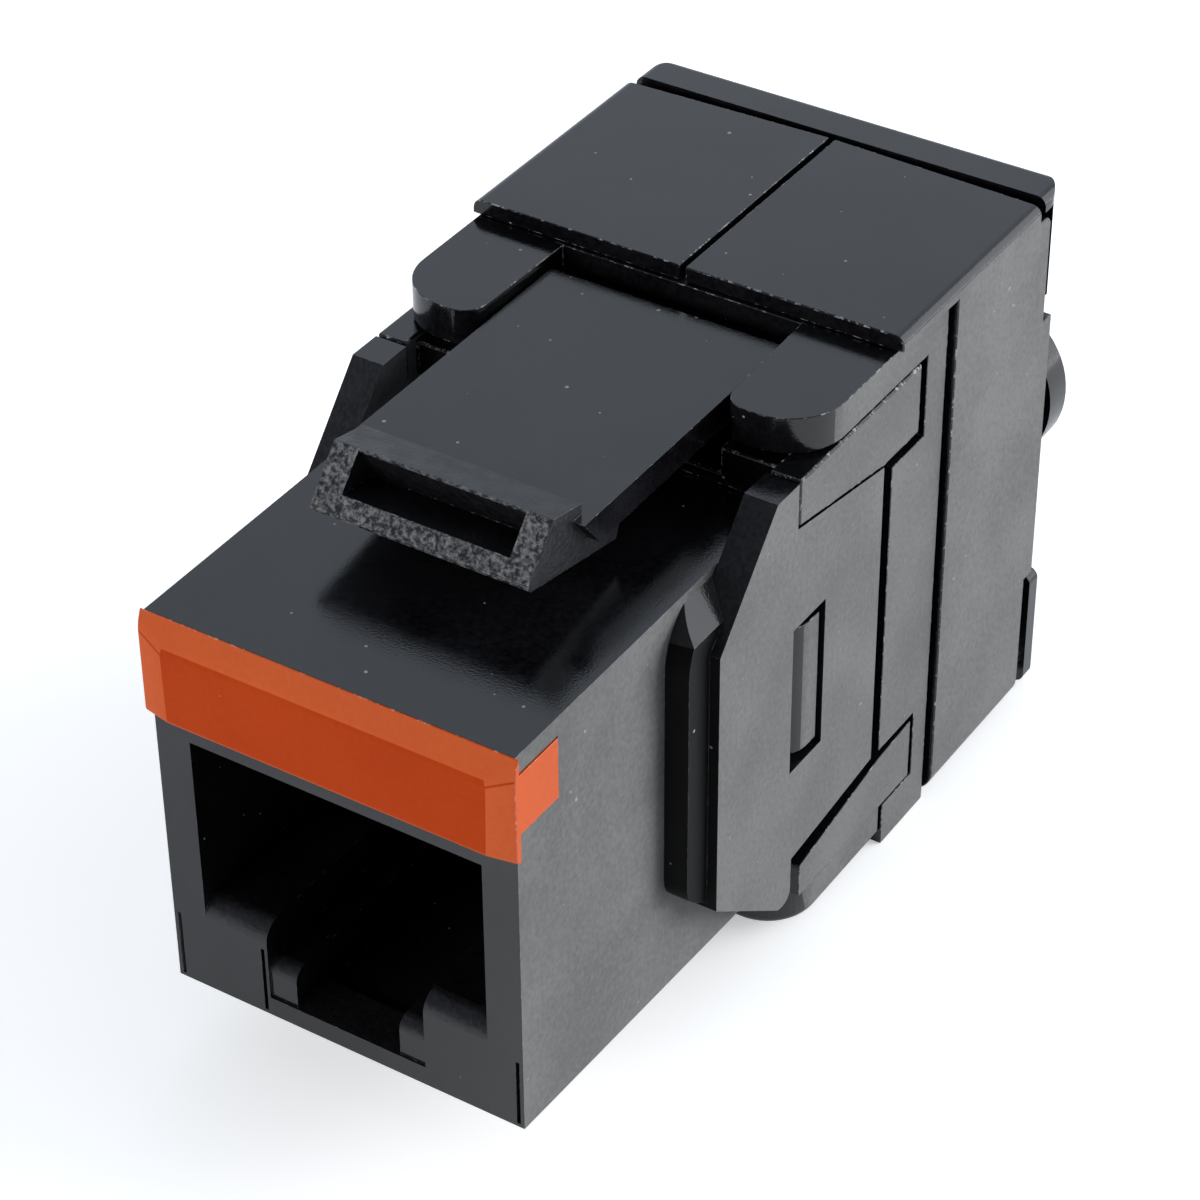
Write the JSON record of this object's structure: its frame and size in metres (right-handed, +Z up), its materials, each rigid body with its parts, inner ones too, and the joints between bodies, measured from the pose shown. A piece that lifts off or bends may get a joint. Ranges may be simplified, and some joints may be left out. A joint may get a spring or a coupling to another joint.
{
  "type": "keystone jack",
  "caption": "Keystone wall jack: a square nose with a modular plug port and a coloured icon strip, a flexing top latch, side wings and two termination covers that open sideways.",
  "frame": {"origin": "middle of the bounding box at the level of the underside", "axes": "+Z up, +Y from the nose with the port towards the cable end, +X to the right seen from the port"},
  "size_m": [0.0176, 0.036, 0.023],
  "materials": {
    "black_plastic": "black satin moulded plastic",
    "orange_plastic": "orange satin moulded plastic",
    "insulator_plastic": "black matt moulded plastic",
    "steel_pin": "plain steel pin",
    "circuit_board": "green solder mask",
    "gold_contact": "gold plated spring bronze",
    "tinned_terminal": "tin plated bronze"
  },
  "bodies": {
    "housing": {"front_housing": "black_plastic", "keystone_frame": "black_plastic", "lower_clip": "black_plastic", "rear_housing": "black_plastic", "rear_cap": "black_plastic", "icon_strip": "orange_plastic", "hinge_pin_left": "steel_pin", "hinge_pin_right": "steel_pin", "contact_carrier": "insulator_plastic", "wire_block_left": "insulator_plastic", "wire_block_right": "insulator_plastic", "circuit_board": "circuit_board", "terminal_left_1": "tinned_terminal", "terminal_left_2": "tinned_terminal", "terminal_left_3": "tinned_terminal", "terminal_left_4": "tinned_terminal", "terminal_right_1": "tinned_terminal", "terminal_right_2": "tinned_terminal", "terminal_right_3": "tinned_terminal", "terminal_right_4": "tinned_terminal"},
    "latch": {"latch_arm": "black_plastic"},
    "cover_left": {"cover_left": "black_plastic"},
    "cover_right": {"cover_right": "black_plastic"},
    "contact_1_body": {"contact_1": "gold_contact"},
    "contact_2_body": {"contact_2": "gold_contact"},
    "contact_3_body": {"contact_3": "gold_contact"},
    "contact_4_body": {"contact_4": "gold_contact"},
    "contact_5_body": {"contact_5": "gold_contact"},
    "contact_6_body": {"contact_6": "gold_contact"},
    "contact_7_body": {"contact_7": "gold_contact"},
    "contact_8_body": {"contact_8": "gold_contact"}
  },
  "joints": [
    {"name": "latch_flex", "type": "hinge", "parent": "housing", "child": "latch", "pos_m": [0, 0.00237, 0.0201], "axis": [1, 0, 0], "range_deg": [0, 4.5], "stiffness_Nm_per_rad": 0.6},
    {"name": "cover_left_hinge", "type": "hinge", "parent": "housing", "child": "cover_left", "pos_m": [-0.00775, 0.01197, 0.0011], "axis": [0, -1, 0], "range_deg": [0, 85]},
    {"name": "cover_right_hinge", "type": "hinge", "parent": "housing", "child": "cover_right", "pos_m": [0.00775, 0.01197, 0.0011], "axis": [0, 1, 0], "range_deg": [0, 85]},
    {"name": "contact_1_flex", "type": "hinge", "parent": "housing", "child": "contact_1_body", "pos_m": [-0.00356, -0.01263, 0.0158], "axis": [1, 0, 0], "range_deg": [0, 7], "stiffness_Nm_per_rad": 0.01},
    {"name": "contact_2_flex", "type": "hinge", "parent": "housing", "child": "contact_2_body", "pos_m": [-0.00254, -0.01263, 0.0158], "axis": [1, 0, 0], "range_deg": [0, 7], "stiffness_Nm_per_rad": 0.01},
    {"name": "contact_3_flex", "type": "hinge", "parent": "housing", "child": "contact_3_body", "pos_m": [-0.00152, -0.01263, 0.0158], "axis": [1, 0, 0], "range_deg": [0, 7], "stiffness_Nm_per_rad": 0.01},
    {"name": "contact_4_flex", "type": "hinge", "parent": "housing", "child": "contact_4_body", "pos_m": [-0.00051, -0.01263, 0.0158], "axis": [1, 0, 0], "range_deg": [0, 7], "stiffness_Nm_per_rad": 0.01},
    {"name": "contact_5_flex", "type": "hinge", "parent": "housing", "child": "contact_5_body", "pos_m": [0.00051, -0.01263, 0.0158], "axis": [1, 0, 0], "range_deg": [0, 7], "stiffness_Nm_per_rad": 0.01},
    {"name": "contact_6_flex", "type": "hinge", "parent": "housing", "child": "contact_6_body", "pos_m": [0.00152, -0.01263, 0.0158], "axis": [1, 0, 0], "range_deg": [0, 7], "stiffness_Nm_per_rad": 0.01},
    {"name": "contact_7_flex", "type": "hinge", "parent": "housing", "child": "contact_7_body", "pos_m": [0.00254, -0.01263, 0.0158], "axis": [1, 0, 0], "range_deg": [0, 7], "stiffness_Nm_per_rad": 0.01},
    {"name": "contact_8_flex", "type": "hinge", "parent": "housing", "child": "contact_8_body", "pos_m": [0.00356, -0.01263, 0.0158], "axis": [1, 0, 0], "range_deg": [0, 7], "stiffness_Nm_per_rad": 0.01}
  ]
}
